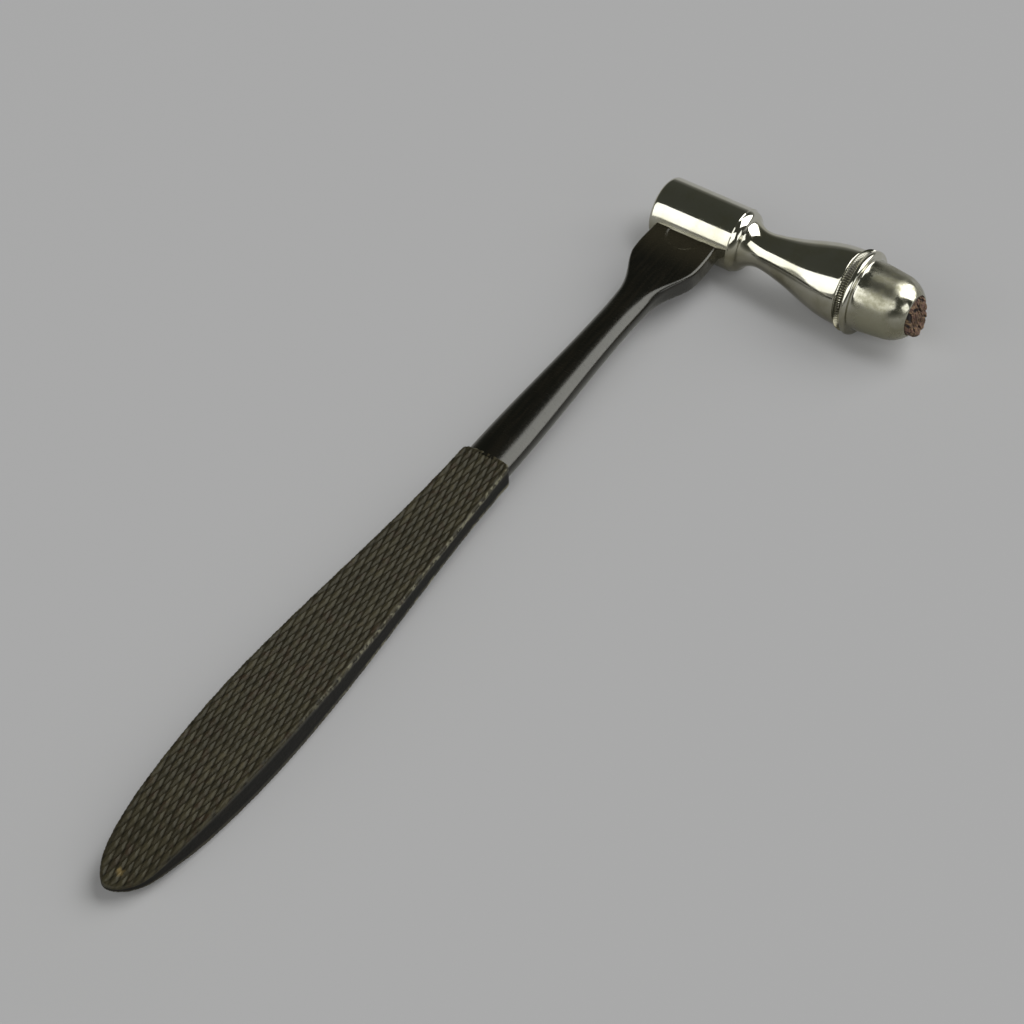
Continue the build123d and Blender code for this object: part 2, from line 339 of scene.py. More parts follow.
def headProfile(h):
    # From the middle of the back end, over barrel, shoulder, waist and bell, to the rim,
    # down its face and along the threaded spigot to the middle of its end.
    quarter = np.linspace(pi, pi / 2, 9)
    back = np.stack((-h["barrelBack"] + h["barrelEndRound"] * (1 + np.cos(quarter)),
                     h["barrelRadius"] - h["barrelEndRound"] * (1 - np.sin(quarter))), -1)
    face = [(-h["barrelBack"], r) for r in (0, 2, 4)]
    stepLong, stepHigh = h["barrelEdge"]
    along = [(x, h["barrelRadius"]) for x in np.linspace(-6, h["barrelFront"] - stepLong, 8)]
    start = np.array((h["barrelFront"], h["barrelRadius"] - stepHigh))
    end = np.array(h["shoulderFoot"])
    chord = end - start
    half = np.linalg.norm(chord) / 2
    square = np.array((chord[1], -chord[0])) / (2 * half)
    centre = (start + end) / 2 + square * (h["shoulderRound"] ** 2 - half ** 2) ** 0.5
    first, last = (np.arctan2(*(p - centre)[::-1]) for p in (start, end))
    angle = np.linspace(first, last, 12)
    shoulder = centre + h["shoulderRound"] * np.stack((np.cos(angle), np.sin(angle)), -1)
    rimTop = (h["bellEnd"] - h["bellRimRound"], h["bellEndRadius"])
    bell = curveThrough([h["shoulderFoot"], h["waist"], h["throat"], h["bellSwell"],
                         h["bellBody"], rimTop], 70)
    quarter = np.linspace(pi / 2, 0, 6)
    rim = np.stack((rimTop[0] + h["bellRimRound"] * np.cos(quarter),
                    h["bellEndRadius"] - h["bellRimRound"] * (1 - np.sin(quarter))), -1)
    spigotEnd = h["bellEnd"] + h["threadLength"]
    rise = [(h["bellEnd"], r) for r in (h["bellFaceRadius"], h["threadRadius"])]
    thread = [(x, h["threadRadius"]) for x in
              np.linspace(h["bellEnd"] + 0.02, spigotEnd - h["spigotChamfer"], 74)]
    tip = [(spigotEnd, h["threadRadius"] - h["spigotChamfer"]), (spigotEnd, 3), (spigotEnd, 0)]
    return np.vstack((face, back, along, shoulder, bell[1:], rim[1:], rise, thread, tip))


spigotThread = threadRelief(head["threadRadius"], head["bellEnd"] + 0.15,
                            head["bellEnd"] + head["threadLength"] - 0.1, screw["fade"], 0)
headBody = makePiece("headBody", [turned(headProfile(head), head["columns"], spigotThread)], 35)
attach(headBody, "hammer")
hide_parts("head_body")


print("cap")
cap = {
    "knurlWidth": 1.6, "knurlRadius": 8.05, "knurlEdgeRadius": 7.62, "knurlInnerRadius": 7.0,
    "knurlDepth": 0.34, "knurlTeeth": 100,
    "knurlGap": 0.16,             # thin dark line between the bell's rim and the teeth
    "bodyRadius": 7.3,
    "beadWidth": 1.3, "beadRadius": 8.25, "beadSeat": 7.75, "beadFoot": 7.4,
    "coveWidth": 0.35, "domeBase": 6.9, "domeShoulder": (41.4, 6.32),
    "mouth": 45.5, "mouthRadius": 3.85, "mouthLip": 0.3,
    "boreRadius": 5.65, "stepX": 38.15,
    "columns": 176,
}


def capProfile(c, h):
    # A closed outline: up the back face, over the bead, cove and dome to the mouth, back
    # through the mouth, and along the threaded bore to the start.
    start = h["bellEnd"]
    beadX = start + c["knurlWidth"]
    beadEnd = beadX + c["beadWidth"]
    base = (beadEnd + c["coveWidth"], c["domeBase"])
    rise = c["beadRadius"] - c["beadSeat"]
    half = c["beadWidth"] / 2
    radius = (half ** 2 + rise ** 2) / (2 * rise)
    sweep = np.linspace(-1, 1, 13) * np.arcsin(half / radius)
    bead = np.stack((beadX + half + radius * np.sin(sweep),
                     c["beadRadius"] - radius * (1 - np.cos(sweep))), -1)
    cove = arcFrom((beadEnd, c["beadFoot"]), (0, -1), base, 7)
    taper = np.linspace(base, c["domeShoulder"], 12)
    lip = (c["mouth"], c["mouthRadius"] + c["mouthLip"])
    dome = arcFrom(c["domeShoulder"], taper[-1] - taper[0], lip, 36)
    mouth = [(c["mouth"] + 0.06, c["mouthRadius"] + 0.12), (c["mouth"] - 0.05, c["mouthRadius"])]
    mouth += [(x, c["mouthRadius"]) for x in np.linspace(c["mouth"] - 0.5, c["stepX"], 4)]
    bore = [(c["stepX"], c["boreRadius"]), (start + h["threadLength"] + 0.1, c["boreRadius"])]
    bore += [(x, c["boreRadius"]) for x in np.linspace(start + h["threadLength"], start, 74)]
    back = [(start, c["bodyRadius"]), (beadX, c["bodyRadius"])]
    return np.vstack((back, bead, cove, taper[1:], dome[1:], mouth, bore, back[:1]))


def knurlBand(c, h):
    # The toothed band: a crowned ring whose outside falls to a V between every two teeth.
    low, high = h["bellEnd"] + c["knurlGap"], h["bellEnd"] + c["knurlWidth"]
    u = np.linspace(-1, 1, 13)
    x = (low + high) / 2 + u * (high - low) / 2
    crest = c["knurlRadius"] - (c["knurlRadius"] - c["knurlEdgeRadius"]) * u ** 2
    inner = c["knurlInnerRadius"]
    profile = np.vstack((np.stack((x, crest), -1), [(high, inner), (low, inner), (low, crest[0])]))

    def teeth(x, radius, angle):
        step = abs((angle * c["knurlTeeth"] / (2 * pi)) % 1 - 0.5) * 2
        return np.where(radius > inner + 0.1, -c["knurlDepth"] * smoothStep(step, 0, 0.9), 0)
    return turned(profile, 6 * c["knurlTeeth"], teeth)


boreThread = threadRelief(cap["boreRadius"], head["bellEnd"] + 0.1,
                          head["bellEnd"] + head["threadLength"], screw["boreFade"],
                          head["threadRadius"] + screw["clearance"] - cap["boreRadius"])
capPiece = makePiece("capShell", [turned(capProfile(cap, head), cap["columns"], boreThread),
                                  knurlBand(cap, head)], 38)
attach(capPiece, "cap")
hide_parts("cap")


print("striking tip")
tip = {
    "radius": 3.79, "standOut": 1.0, "lean": 0.85, "edgeRound": 0.75,
    "flangeRadius": 5.55, "flangeBack": 36.55, "flangeFront": 38.15,
    "relief": 0.42, "broadSize": 1.15, "crackSize": 0.75, "fineSize": 0.22,
    "rings": 60, "columns": 220, "seed": 7,
}


def tipSurface(t, mouth):
    # A polar grid: rings go out over the worn face, round its edge, back along the plug,
    # and over the flange to the middle of its back. The face leans a little, and lumps
    # with cracks between them push it in and out along X.
    u = np.linspace(0, 1, t["rings"])[:, None]
    angle = np.linspace(0, 2 * pi, t["columns"], endpoint=False)[None, :]
    radius = t["radius"] * np.sin(u * pi / 2) ** 0.85 * np.ones_like(angle)
    inset = np.clip(t["edgeRound"] - (t["radius"] - radius), 0, None)
    edge = t["edgeRound"] - np.sqrt(np.clip(t["edgeRound"] ** 2 - inset ** 2, 0, None))
    y, z = radius * np.cos(angle), radius * np.sin(angle)
    flat = np.stack((0 * y, y, z), -1)
    broad = lumps(flat, t["broadSize"], t["seed"])
    crack = abs(2 * lumps(flat * (1, 1.5, 0.9) + 40, t["crackSize"], t["seed"] + 1) - 1)
    crack = 1 - smoothStep(crack, 0.02, 0.3)
    fine = lumps(flat * (1, 2.2, 1) + 80, t["fineSize"], t["seed"] + 2)
    push = t["relief"] * (broad - 0.5 + 0.35 * (fine - 0.5) - 0.75 * crack)
    push *= 1 - smoothStep(radius, t["radius"] - 0.25, t["radius"])
    lean = -t["lean"] * (0.55 * y + 0.83 * z) / t["radius"]
    x = mouth + t["standOut"] + lean * (radius / t["radius"]) + push - edge
    face = np.stack((x, y, z), -1)
    stations = np.array([(mouth - 0.6, t["radius"]), (t["flangeFront"], t["radius"]),
                         (t["flangeFront"], t["flangeRadius"]), (t["flangeBack"], t["flangeRadius"]),
                         (t["flangeBack"], 2.5), (t["flangeBack"], 0)])
    rearX, rearRadius = stations.T[:, :, None]
    rear = np.stack((rearX + 0 * angle, rearRadius * np.cos(angle), rearRadius * np.sin(angle)), -1)
    grid = np.concatenate((face, rear))
    pad = np.zeros((len(stations), t["columns"]))
    marks = {"crack": np.concatenate((crack, pad)), "fibre": np.concatenate((fine, pad + 0.5))}
    return closedShell(grid, gridQuads(len(grid), t["columns"], closed=True), marks)


tipPiece = makePiece("strikingTip", [tipSurface(tip, cap["mouth"])], 60)
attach(tipPiece, "tip")
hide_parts("tip")


print("handle")
# Distances are from the head's axis towards the butt
wood = {
    "butt": 181.0, "noseLean": 1.0, "gripEnd": 71.6, "gripEndBow": 0.6, "cornerRound": 1.0,
    "widths": [(71.6, 9.8), (118.0, 14.6), (140.0, 15.9), (164.0, 13.5), (173.0, 11.0), (179.3, 5.9)],
    "halves": [(183.6, 0.6), (173.0, 1.65), (164.0, 2.7), (157.0, 2.98), (148.0, 3.15), (122.0, 2.8),
               (68.4, 2.6)],
    "diamondWidth": 1.355, "diamondLength": 5.18, "grooveDepth": 0.3, "grooveWidth": 1.2,
    "latticeX": 0.16, "latticeUp": 1.3,     # where a crossing of two grooves lies, from the grip's middle
    "columnsPerDiamond": 8, "rowsPerDiamond": 16,
    "edgeRound": 0.5, "edgeWorn": (0.2, 1.3), "edgeGroove": 0.3,    # shallower grooves along the edge
    # distance, width, thickness, corner and crown of the neck's and the tail's sections
    "neck": [(71.9, 9.21, 4.7, 1.9, 0.35), (50.0, 8.1, 4.7, 1.9, 0.35), (30.0, 6.9, 4.4, 1.6, 0.35),
             (24.5, 7.0, 4.2, 1.5, 0.2)],
    "flare": [(24.5, 7.0, 4.2, 1.5, 0.2), (20.5, 8.2, 4.2, 1.1, 0.2), (17.4, 10.8, 4.0, 0.7, 0.06),
              (14.3, 13.2, 4.0, 0.55, 0.06)],
    "tail": [(14.3, 13.2, 4.0, 0.55, 0.06), (12.6, 13.6, 4.0, 0.55, 0.06), (11.0, 13.7, 4.0, 0.55, 0.06),
             (3.2, 13.4, 4.0, 0.55, 0.06)],
    "neckPower": 2.5, "neckRound": (20.0, 30.0),
    "recessRadius": 3.8, "recessDepth": 0.14, "recessSlope": 0.55,
}
latticeAway = (wood["butt"] + wood["gripEnd"]) / 2 - wood["latticeUp"]
slant = wood["diamondWidth"] / wood["diamondLength"]


def gripOutline(w):
    # Up one side, round the butt and down the other, as x and y.
    right = [(width / 2, -away) for away, width in w["widths"]]
    left = [(-x, y) for x, y in reversed(right)]
    return curveThrough(right + [(-w["noseLean"], -w["butt"])] + left, 1600)


def rimDistance(x, y, rim):
    # How far each point of the grid is from the nearest point of the rim, row by row.
    return np.stack([np.hypot(rowX[:, None] - rim[:, 0], rowY[:, None] - rim[:, 1]).min(1)
                     for rowX, rowY in zip(x, y)])


def gripShell(w):
    # The chequered face is a height over a grid: columns stand on the lattice of the
    # chequering and stop at the outline, and rows stop at the bowed end. The height is
    # half the grip's thickness, less the deeper of the two sets of grooves, less the worn
    # round along the edge. The other face mirrors it, and a wall joins their rims.
    outline = gripOutline(w)
    nose = np.argmin(outline[:, 1])
    away = -outline[:, 1]
    ends = w["gripEnd"] - w["gripEndBow"], away[nose]
    lattice = latticeAway + np.arange(-180, 180) * w["diamondLength"] / w["rowsPerDiamond"]
    lattice = lattice[(lattice > ends[0] + 0.05) & (lattice < ends[1] - 1.3)]
    noseRows = ends[1] - 1.2 * np.linspace(1, 0, 14) ** 2
    rows = np.concatenate(([ends[0]], lattice, noseRows))[:, None]
    columns = w["latticeX"] + np.arange(-49, 49)[None, :] * w["diamondWidth"] / w["columnsPerDiamond"]
    right = np.interp(rows, away[:nose + 1], outline[:nose + 1, 0])
    left = np.interp(rows, away[nose:][::-1], outline[nose:, 0][::-1])
    x = np.clip(columns, left, right)
    halfEnd = w["widths"][0][1] / 2
    corner = np.clip((abs(x) - (halfEnd - w["cornerRound"])) / w["cornerRound"], 0, 1)
    front = (ends[0] + w["gripEndBow"] * (x / halfEnd) ** 2
             + w["cornerRound"] * (1 - np.sqrt(1 - corner ** 2)))
    d = np.maximum(rows, front)
    stations = curveThrough(w["halves"][::-1], 600)
    half = np.interp(d, stations[:, 0], stations[:, 1])
    endX = np.linspace(-halfEnd, halfEnd, 60)
    rim = np.vstack((outline, np.stack((endX, -np.interp(endX, x[0], d[0])), -1)))
    inset = rimDistance(x, -d, rim)
    inset[:, [0, -1]] = 0
    inset[[0, -1], :] = 0
    grooves = 0
    for lean in (1, -1):
        step = (x - w["latticeX"] + lean * slant * (d - latticeAway)) / w["diamondWidth"]
        aside = abs(step - np.round(step)) * w["diamondWidth"] / (w["grooveWidth"] / 2)
        grooves = np.maximum(grooves, 0.5 + 0.5 * np.cos(pi * np.clip(aside, 0, 1)))
    worn = w["edgeGroove"] + (1 - w["edgeGroove"]) * smoothStep(inset, *w["edgeWorn"])
    r = w["edgeRound"]
    inside = np.clip(r - inset, 0, r)
    height = half - w["grooveDepth"] * grooves * worn - (r - np.sqrt(r * r - inside ** 2))
    face = np.stack((x, -d, height), -1)
    count, across = x.shape
    rimIndex = np.concatenate((np.arange(across), np.arange(1, count) * across + across - 1,
                               (count - 1) * across + np.arange(across - 2, -1, -1),
                               np.arange(count - 2, 0, -1) * across))
    face = face.reshape(-1, 3)
    edge = face[rimIndex]
    wall = np.stack([edge * (1, 1, level) for level in np.linspace(1, -1, 7)])
    top = gridQuads(count, across)
    quads = np.vstack((top, top[:, ::-1] + len(face),
                       gridQuads(len(wall), len(edge), closed=True) + 2 * len(face)))
    points = np.vstack((face, face * (1, 1, -1), wall.reshape(-1, 3)))
    onWall = np.zeros(wall.shape[:2])
    marks = {"inset": np.concatenate((inset.ravel(), inset.ravel(), onWall.ravel())),
             "chequer": np.concatenate((np.ones(2 * x.size), onWall.ravel()))}
    return closedShell(points, quads, marks)


def barShell(w):
    # A quarter of the section runs from the top's middle over the round corner to the
    # middle of the side, and mirrored three times it makes the loop. Along the neck it
    # turns into an oval, |x / a|^p + |z / b|^p = 1. Loops follow the stations of the neck,
    # the flare and the tail, and the tail's close in on the barrel's round side.
    table = [curveThrough(w["neck"], 44)[:-1], curveThrough(w["flare"], 30)[:-1]]
    tail = curveThrough(w["tail"], 400)
    tailStart = w["tail"][0][0]
    closing = np.linspace(0, 1, 60)
    barrelSide = (head["barrelRadius"] ** 2 - (w["tail"][0][2] / 2) ** 2) ** 0.5
    near = tailStart - (tailStart - barrelSide) * closing
    table.append(np.stack([near] + [np.interp(near, tail[::-1, 0], tail[::-1, i]) for i in range(1, 5)], -1))
    away, width, thickness, corner, crown = np.vstack(table).T[:, :, None]
    a, b = width / 2, thickness / 2
    flat = np.linspace(0, 1, 34)[None, :] * (a - corner)
    topZ = b - crown * (flat / a) ** 2
    cornerZ = topZ[:, -1:] - corner
    sweep = np.linspace(pi / 2, 0, 9)[None, 1:]
    quarterX = np.concatenate((flat, a - corner + corner * np.cos(sweep), a, a), axis=1)
    quarterZ = np.concatenate((topZ, cornerZ + corner * np.sin(sweep), cornerZ / 2, 0 * a), axis=1)
    power = w["neckPower"]
    oval = b * np.clip(1 - (quarterX / a) ** power, 0, None) ** (1 / power)
    quarterZ = quarterZ + (oval - quarterZ) * smoothStep(away, *w["neckRound"])
    x = np.concatenate((quarterX, quarterX[:, ::-1], -quarterX, -quarterX[:, ::-1]), axis=1)
    z = np.concatenate((quarterZ, -quarterZ[:, ::-1], -quarterZ, quarterZ[:, ::-1]), axis=1)
    onTail = np.concatenate((np.zeros(len(away) - len(closing)), closing))[:, None]
    reach = np.sqrt(head["barrelRadius"] ** 2 - z ** 2)
    d = np.where(onTail > 0, tailStart - (tailStart - reach) * onTail, away)
    fromMiddle = np.hypot(x, d - head["barrelRadius"])
    dish = 1 - smoothStep(fromMiddle, w["recessRadius"] - w["recessSlope"], w["recessRadius"])
    z = z - dish * (z > 1) * w["recessDepth"]
    d = np.where(onTail == 1, np.sqrt(head["barrelRadius"] ** 2 - z ** 2), d)
    loops = np.stack((x, -d, z), -1)
    count, around = x.shape
    over = np.concatenate((np.arange(3 * around // 4, around), np.arange(around // 4)))
    under = np.concatenate((np.arange(around // 2, 3 * around // 4)[::-1],
                            np.arange(around // 4, around // 2)[::-1]))
    levels = np.linspace(0, 1, 7)[:, None, None]
    saddle = loops[-1, over] * (1 - levels) + loops[-1, under] * levels
    saddle[..., 1] = -np.sqrt(head["barrelRadius"] ** 2 - saddle[..., 2] ** 2)
    rootCap = loops[0, over] * (1 - levels[::6]) + loops[0, under] * levels[::6]
    quads = [gridQuads(count, around, closed=True)]
    quads.append(gridQuads(*saddle.shape[:2])[:, ::-1] + loops[..., 0].size)
    quads.append(gridQuads(*rootCap.shape[:2]) + loops[..., 0].size + saddle[..., 0].size)
    points = np.vstack([part.reshape(-1, 3) for part in (loops, saddle, rootCap)])
    total = len(points)
    return closedShell(points, np.vstack(quads), {"inset": np.full(total, 9.0), "chequer": np.zeros(total)})


handle = makePiece("handleWood", [gripShell(wood), barShell(wood)], 42)
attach(handle, "hammer")
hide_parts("handle")


print("wood finish")
# Colours are linear; depths of bumps are in millimetres
ebony = {
    "polished": (0.0022, 0.0022, 0.0017), "brown": (0.0075, 0.0062, 0.0046),
    "diamond": (0.042, 0.0365, 0.020), "dusty": (0.115, 0.099, 0.056),
    "russet": (0.053, 0.033, 0.019), "worn": (0.034, 0.029, 0.0195),
    # groove: painted shade in the grooves and their crossings, also a dark tone for some diamonds
    "groove": (0.0045, 0.004, 0.003),
    # rubbed: light dashes along the chequered edges, partly rubbed wear, partly a painted highlight
    "wornHighlight": (0.2, 0.19, 0.13), "chip": (0.30, 0.22, 0.085), "sheen": (1.0, 0.99, 0.84),
    "chipPlace": (0.1, -177.8, 1.2), "chipSize": 1.5,
    "grooveEdge": (0.03, 0.34),                 # across a groove, from its middle: where its painted shade fades out
    # where the light dashes along the edge lie: partly rubbed wear, partly a painted highlight
    "wornHighlightEdge": (0.08, 0.4), "wornHighlightAlong": (-148, -118),
    "tailWorn": (-16, -7), "tailDull": (-24, -16),
    # patterns: scale, detail and roughness of the noise, and where its mask starts and ends
    "broadPattern": (0.13, 3, 0.5, 0.35, 0.68), "dustPattern": (1.4, 4, 0.65, 0.45, 0.72),
    "russetPattern": (0.5, 3, 0.5, 0.52, 0.68), "wornHighlightPattern": (0.9, 3, 0.5, 0.47, 0.6),
    "grainPattern": (1.5, 5, 0.6, 0.4, 0.7), "scratchNoise": (1.1, 6, 0.75), "poreNoise": (1.0, 4, 0.7),
    "rough": 0.22, "reflection": 0.2, "coatRough": 0.2,
}


def ebonyFinish(e, w):
    # Black wood: the chequered faces are dusty, with a tone of their own for each diamond, painted
    # shade in the grooves, darkest where they cross, and light dashes along the edges that are partly
    # rubbed wear and partly a painted highlight; the rest is polished.
    material, shader, here = newMaterial("ebony")
    across, along = here.axis(0), here.axis(1)
    chequer, inset = here.attribute("chequer"), here.attribute("inset")
    lines, steps = [], []
    for lean in (1, -1):
        # A groove of each set lies where this count of diamond widths is whole.
        step = (across - w["latticeX"] - (along + latticeAway) * (lean * slant)) / w["diamondWidth"]
        aside = abs(step - step.sum("ROUND", step)) * w["diamondWidth"]
        lines.append(1 - aside.rise(*e["grooveEdge"]))
        steps.append(step.sum("FLOOR", step))
    groove = lines[0].sum("MAXIMUM", *lines)
    crossing = lines[0] * lines[1]
    cell = here.make("ShaderNodeCombineXYZ", None, {0: steps[0], 1: steps[1]})
    luck = here.make("ShaderNodeTexWhiteNoise", {"noise_dimensions": "2D"}, {"Vector": cell})
    broad = here.pattern(*e["broadPattern"])
    dust = here.stretch(1, 0.4, 1).pattern(*e["dustPattern"])
    speck = (luck.rise(0.65, 0.95) * 0.8 + broad * 0.35) * dust
    top = speck.tint(e["diamond"], e["dusty"])
    top = (here.pattern(*e["russetPattern"]) * luck.rise(0.3, 0.6) * 0.7).tint(top, e["russet"])
    # Some diamonds darker at random, in the colour of the painted groove shade.
    top = (luck.rise(0.1, 0.5) * 0.35).tint(top, e["groove"])
    # Painted shade in the grooves, darkest where two grooves cross.
    top = (groove * 0.35 + crossing * 0.5).tint(top, e["groove"])
    # Light dashes along the chequered faces' edges, mostly towards the head: partly rubbed wear and partly a
    # painted highlight where the edge's ridges catch the light.
    wornHighlight = (1 - inset.rise(*e["wornHighlightEdge"])) * here.pattern(*e["wornHighlightPattern"]) * chequer
    wornHighlight = wornHighlight * (0.05 + along.rise(*e["wornHighlightAlong"]) * 0.95)
    grain = here.stretch(1, 0.09, 1).pattern(*e["grainPattern"])
    smooth = grain.tint(e["polished"], e["brown"])
    smooth = (along.rise(*e["tailWorn"]) * 0.6).tint(smooth, e["worn"])
    base = chequer.tint(smooth, top)
    base = (wornHighlight * 0.75).tint(base, e["wornHighlight"])
    offset = here.make("ShaderNodeVectorMath", {"operation": "DISTANCE"}, {0: here, 1: e["chipPlace"]}, 1)
    chip = (1 - (offset + here.noise(1.2) * 0.9).rise(0.5, e["chipSize"])) * (1 - crossing)
    base = (chip * 0.8).tint(base, e["chip"])
    scratch = here.stretch(0.5, 3, 1).noise(*e["scratchNoise"])
    wall = (1 - chequer) * (1 - inset.rise(0.1, 0.5))
    roughness = (e["rough"] + chequer * (0.16 + dust * 0.2) + scratch.rise(0.45, 0.8) * 0.16
                 + wall * (0.36 + along.rise(*e["tailDull"]) * 0.3))
    pores = here.stretch(5, 0.5, 5).noise(*e["poreNoise"]) * 0.6 + scratch * 0.4
    polish = (1 - chequer) * (1 - wall) * (0.95 - scratch.rise(0.5, 0.8) * 0.3)
    feed(shader, Base_Color=base, Roughness=roughness, Normal=pores.bump(0.35, 0.05),
         Specular_IOR_Level=e["reflection"], Specular_Tint=e["sheen"], Coat_Weight=polish,
         Coat_Roughness=e["coatRough"], Coat_Tint=e["sheen"])
    return material


handle.data.materials.append(ebonyFinish(ebony, wood))


print("metal finishes")
nickel = {
    "bright": (0.69, 0.68, 0.59), "yellow": (0.60, 0.58, 0.44), "tarnish": (0.31, 0.30, 0.215),
    # dark in the knurl's teeth and the thread's roots: partly grime, partly painted shade
    "grimeAndShade": (0.05, 0.045, 0.032), "grimeAndShadeDepth": 0.26,
    "paintedUnderShade": (0.20, 0.185, 0.118),      # painted shade on the side away from the light, which is also a little rougher
    "shadeSide": (-0.87, -0.5), "shadeEdge": (0.3, 0.9), "shadeCore": (0.4, 3.6),
    "polish": 0.06, "haze": 0.10,
    "domeStart": 35.5, "domeDull": 38.4, "noseWorn": (42.2, 43.6), "domeHaze": 0.14,
    # patterns: scale, detail and roughness of the noise, and where its mask starts and ends
    "blotchPattern": (0.14, 4, 0.6, 0.42, 0.7), "bloomPattern": (0.55, 6, 0.7, 0.46, 0.78),
    "pitPattern": (2.4, 4, 0.75, 0.6, 0.78), "turningNoise": (1.0, 3, 0.6),
    "stainNoise": (0.42, 5, 0.65), "fineStainNoise": (1.7, 3, 0.6), "stainEdge": (0.42, 0.72),
    "spotSize": (1.15, 0.08, 0.3),     # scale of the cells, and each spot's inner and outer edge
}


def nickelFinish(n, name, dome):
    # Worn plating: faint yellow blotches and a hazy bloom on a mirror, with painted shade on the
    # side away from the light and in the teeth and thread roots, where it is partly grime too; the
    # dome of the cap is duller, darker and spotted.
    material, shader, here = newMaterial(name)
    blotch, bloom, pits = (here.pattern(*n[key]) for key in ("blotchPattern", "bloomPattern", "pitPattern"))
    colour = (blotch * 0.7 + bloom * 0.3).tint(n["bright"], n["yellow"])
    x, y, z = (here.axis(index) for index in range(3))
    # Painted shade: the side away from the light is darkened and a little rougher, fading out near the axis.
    fromAxis = ((y * y + z * z) ** 0.5).larger(0.1)
    shaded = (y * n["shadeSide"][0] + z * n["shadeSide"][1]) / fromAxis
    paintedUnderShade = shaded.rise(*n["shadeEdge"]) * fromAxis.rise(*n["shadeCore"])
    colour = (paintedUnderShade * (0.75 + blotch * 0.25)).tint(colour, n["paintedUnderShade"])
    turning = here.stretch(7, 0.15, 0.15).noise(*n["turningNoise"])
    roughness = n["polish"] + blotch * 0.03 + bloom * n["haze"] + pits * 0.2 + paintedUnderShade * 0.06
    # Darker and rougher by how deep the teeth and thread roots go: partly grime, partly painted shade.
    sunk = here.attribute("sunk").rise(0.02, n["grimeAndShadeDepth"])
    colour = (sunk * 0.75).tint(colour, n["grimeAndShade"])
    roughness = roughness + sunk * 0.3
    height = turning * 0.25 + here.noise(0.35, 2) * 0.9
    if dome:
        onDome = x.rise(n["domeStart"], n["domeStart"] + 0.5)
        stain = here.noise(*n["stainNoise"]) * 0.75 + here.noise(*n["fineStainNoise"]) * 0.35
        stain = stain.rise(*n["stainEdge"])
        cellScale, *spotEdge = n["spotSize"]
        spot = 1 - here.cells(cellScale).rise(*spotEdge)
        dull = x.rise(n["domeStart"] + 0.5, n["domeDull"]) * (1 - x.rise(*n["noseWorn"]))
        cover = onDome * (0.35 + dull * 0.35 + stain * 0.45 + spot * 0.2)
        colour = cover.smaller(1.0).tint(colour, n["tarnish"])
        roughness = roughness + onDome * (0.03 + stain * n["domeHaze"] + spot * 0.05) + dull * 0.2
        height = height + onDome * (stain * 0.5 + spot * 0.5)
    feed(shader, Base_Color=colour, Metallic=1.0, Roughness=roughness, Normal=height.bump(0.25, 0.012))
    return material


headBody.data.materials.append(nickelFinish(nickel, "nickel", False))
capPiece.data.materials.append(nickelFinish(nickel, "capNickel", True))


print("tip finish")
perished = {
    # ochre: partly pale fibres, partly a painted highlight
    "brown": (0.072, 0.041, 0.026), "ochreFibreAndHighlight": (0.25, 0.165, 0.085), "pink": (0.14, 0.074, 0.055),
    # crack: black painted shade in the cracks
    "crack": (0.007, 0.004, 0.004), "rough": 0.72,
    "patchPattern": (0.9, 3, 0.5, 0.4, 0.65), "grainNoise": (3.0, 4, 0.7),
}


def perishedFinish(p):
    # Crumbled rubber: brown and pink patches, ochre that is partly pale fibres and partly a painted
    # highlight, and black painted shade in the cracks.
    material, shader, here = newMaterial("perishedRubber")
    crack, fibre = here.attribute("crack"), here.attribute("fibre")
    patch = here.pattern(*p["patchPattern"])
    grain = here.stretch(1, 2.5, 1).noise(*p["grainNoise"])
    colour = patch.tint(p["brown"], p["pink"])
    # Ochre on the raised fine lumps where the grain is high: partly pale fibres, partly a painted highlight.
    colour = (fibre * grain * 2).rise(0.45, 0.8).tint(colour, p["ochreFibreAndHighlight"])
    # Painted shade: black in the cracks, and darker where the grain is low.
    crackShadeAndGrain = (crack * 0.9 + (1 - grain.rise(0.3, 0.5)) * 0.5).rise(0.2, 0.9)
    colour = crackShadeAndGrain.tint(colour, p["crack"])
    feed(shader, Base_Color=colour, Roughness=p["rough"] + grain * 0.2, Normal=grain.bump(0.8, 0.12))
    return material


tipPiece.data.materials.append(perishedFinish(perished))


print("stud finish")
steel = {"bright": (0.55, 0.55, 0.54), "dull": (0.30, 0.28, 0.25), "rough": 0.32,
         "streakPattern": (1.0, 3, 0.5, 0.35, 0.7)}


def steelFinish(s):
    # Plain steel with dull streaks along the stud.
    material, shader, here = newMaterial("studSteel")
    streak = here.stretch(1, 8, 1).pattern(*s["streakPattern"])
    feed(shader, Base_Color=streak.tint(s["bright"], s["dull"]), Metallic=1.0,
         Roughness=s["rough"] + streak * 0.12)
    return material


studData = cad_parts["stud"].data
studData.materials.clear()
studData.materials.append(steelFinish(steel))


print("floor and light")
# The hammer lies on the cap's bead, the barrel's edge and the grip, so the floor leans a
# little under it (heights in millimetres from x and y) and is level further out.
floorSet = {
    "height": -6.6074, "slopeX": -0.04747, "slopeY": -0.02086,
    "nearX": (-60, 100), "nearY": (-230, 60), "edge": 260, "levelHeight": -9.6, "reach": 3000,
    "centreY": -85, "lines": 161, "fineShare": 0.12,
    "grey": 0.45, "seenGrey": (0.397, 0.397, 0.397),
    # how much of the floor that is seen is plain grey: under, beside and far from the hammer
    "underShare": 0.08, "nearShare": 0.5, "farShare": 0.88, "besideFrom": (-3, 2), "farFrom": (4, 30),
    # the head's and the handle's line: its middle, its half length and its half width
    "headLine": (18.75, 27.25, 8.0), "handleLine": (-93.0, 88.0, 7.0),
}


